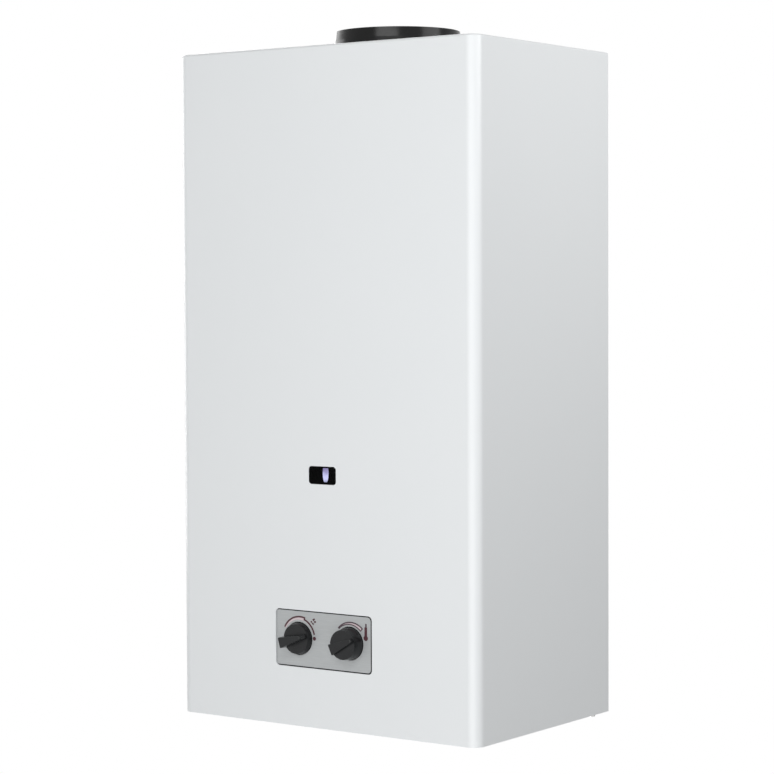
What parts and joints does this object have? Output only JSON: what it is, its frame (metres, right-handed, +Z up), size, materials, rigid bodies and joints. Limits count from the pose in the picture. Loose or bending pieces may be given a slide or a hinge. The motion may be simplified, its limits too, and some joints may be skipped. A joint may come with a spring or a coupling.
{
  "type": "tankless gas water heater",
  "caption": "Wall-hung open-flue tankless gas water heater: white sheet casing with sight window, control knobs, burner, finned heat exchanger, gas and water valves and flue collar.",
  "frame": {"origin": "midway between the two wall hanging holes, on the wall plane", "axes": "+Z up, +Y into the wall, so the front faces -Y, and +X to the right seen from the front"},
  "size_m": [0.32, 0.2292, 0.6275],
  "materials": {
    "cover_white": "gloss",
    "galvanised": "satin",
    "zinc_fasteners": "satin",
    "window_black": "satin",
    "window_glass": "gloss",
    "fascia_silver": "satin",
    "knob_black": "satin",
    "bright_steel": "satin",
    "spring_steel": "satin",
    "brass": "satin",
    "cast_aluminium": "matte",
    "cast_brass": "matte",
    "black_rubber": "matte",
    "copper": "satin",
    "gas_pipe": "satin",
    "burner_steel": "satin",
    "electrode_ceramic": "matte",
    "collar_enamel": "satin"
  },
  "bodies": {
    "heater": {"back_plate": "galvanised", "connection_rail": "galvanised", "chamber_bracket": "galvanised", "hood_bracket": "galvanised", "draught_hood": "galvanised", "baffle_plate": "galvanised", "fascia_bracket": "galvanised", "pilot_bracket": "galvanised", "fascia_screws": "zinc_fasteners", "water_valve_screws": "zinc_fasteners", "fascia_plate": "fascia_silver", "piezo_igniter": "knob_black", "safety_magnet": "bright_steel", "knob_spring": "spring_steel", "safety_spring": "spring_steel", "gas_valve_spring": "spring_steel", "spindle_glands": "brass", "gas_valve_plug": "brass", "gas_inlet_elbow": "brass", "cold_inlet_elbow": "brass", "hot_outlet_union": "brass", "drain_plug": "brass", "injectors": "brass", "pilot_burner": "brass", "lock_nuts": "brass", "pipe_nuts": "brass", "gas_valve_body": "cast_aluminium", "water_valve_body": "cast_brass", "water_valve_cover": "cast_brass", "diaphragm": "black_rubber", "ignition_lead": "black_rubber", "cold_pipe": "copper", "jacket_coil": "copper", "exchanger_tubes": "copper", "exchanger_fins": "copper", "hot_pipe": "copper", "combustion_chamber": "copper", "thermocouple": "copper", "gas_riser": "gas_pipe", "pilot_pipe": "gas_pipe", "gas_manifold": "gas_pipe", "burner_bars": "burner_steel", "burner_frame": "burner_steel", "ignition_electrode": "electrode_ceramic", "flue_collar": "collar_enamel"},
    "cover": {"front_cover": "cover_white", "window_frame": "window_black", "window_pane": "window_glass", "cover_screws": "zinc_fasteners", "cover_nuts": "zinc_fasteners"},
    "gas_push": {"push_pin": "bright_steel"},
    "gas_knob": {"gas_knob": "knob_black", "gas_spindle": "bright_steel", "ignition_cam": "knob_black"},
    "temperature_knob": {"temperature_knob": "knob_black", "temperature_spindle": "brass"},
    "water_valve": {"diaphragm_plate": "bright_steel", "gas_valve_disc": "black_rubber"},
    "safety_valve": {"safety_valve_disc": "black_rubber"}
  },
  "joints": [
    {"name": "cover_slide", "type": "slide", "parent": "heater", "child": "cover", "axis": [0, -1, 0], "range_m": [0, 0.25]},
    {"name": "gas_push", "type": "slide", "parent": "heater", "child": "gas_push", "axis": [0, 1, 0], "range_m": [0, 0.004], "stiffness_N_per_m": 1500, "springref_m": -0.004, "deforming": ["knob_spring"]},
    {"name": "gas_turn", "type": "hinge", "parent": "gas_push", "child": "gas_knob", "pos_m": [-0.0275, -0.2146, -0.4732], "axis": [0, -1, 0], "range_deg": [-12, 133]},
    {"name": "temperature_turn", "type": "hinge", "parent": "heater", "child": "temperature_knob", "pos_m": [0.0275, -0.2146, -0.4732], "axis": [0, -1, 0], "range_deg": [0, 120]},
    {"name": "water_lift", "type": "slide", "parent": "heater", "child": "water_valve", "axis": [-1, 0, 0], "range_m": [0, 0.004], "stiffness_N_per_m": 1000, "springref_m": -0.004, "deforming": ["gas_valve_spring"]},
    {"name": "safety_lift", "type": "slide", "parent": "heater", "child": "safety_valve", "axis": [0, 1, 0], "range_m": [0, 0.004], "stiffness_N_per_m": 400, "springref_m": -0.003, "deforming": ["safety_spring"]}
  ],
  "couplings": [
    {"joint": "safety_lift", "follows": "gas_push", "ratio": 1}
  ]
}
